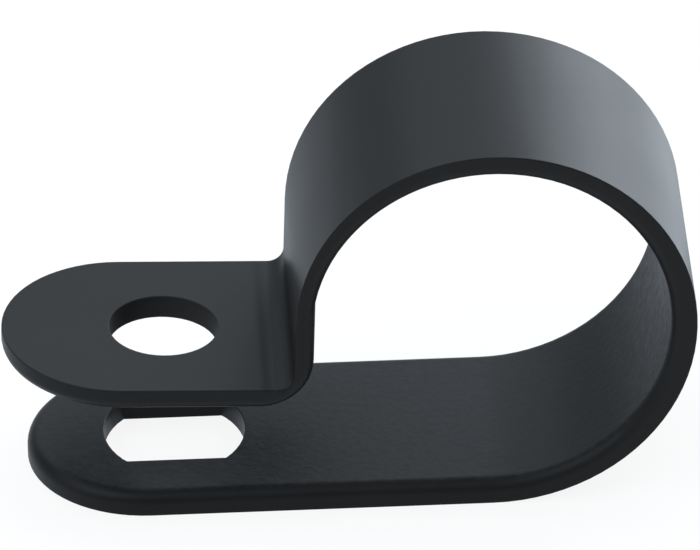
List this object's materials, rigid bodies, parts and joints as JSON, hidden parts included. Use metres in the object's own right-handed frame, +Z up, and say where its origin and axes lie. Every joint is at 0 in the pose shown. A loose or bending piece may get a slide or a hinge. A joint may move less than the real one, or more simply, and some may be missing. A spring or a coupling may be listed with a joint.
{
  "type": "cable clip",
  "caption": "Black nylon P-shaped cable clip, shown open: a round loop for the cable, a flat base leg with a slot and a raised tab with a screw hole.",
  "frame": {"origin": "under the middle of the part's length and width, in the plane the base leg stands on", "axes": "+X along the strap from the tab to the loop, +Y along the cable, +Z up from the base leg to the tab"},
  "size_m": [0.0272, 0.0096, 0.016],
  "materials": {
    "nylon": "satin moulded black nylon, smooth outside and finely grained on the cable side"
  },
  "bodies": {
    "root": {"clip_body": "nylon"}
  },
  "joints": []
}
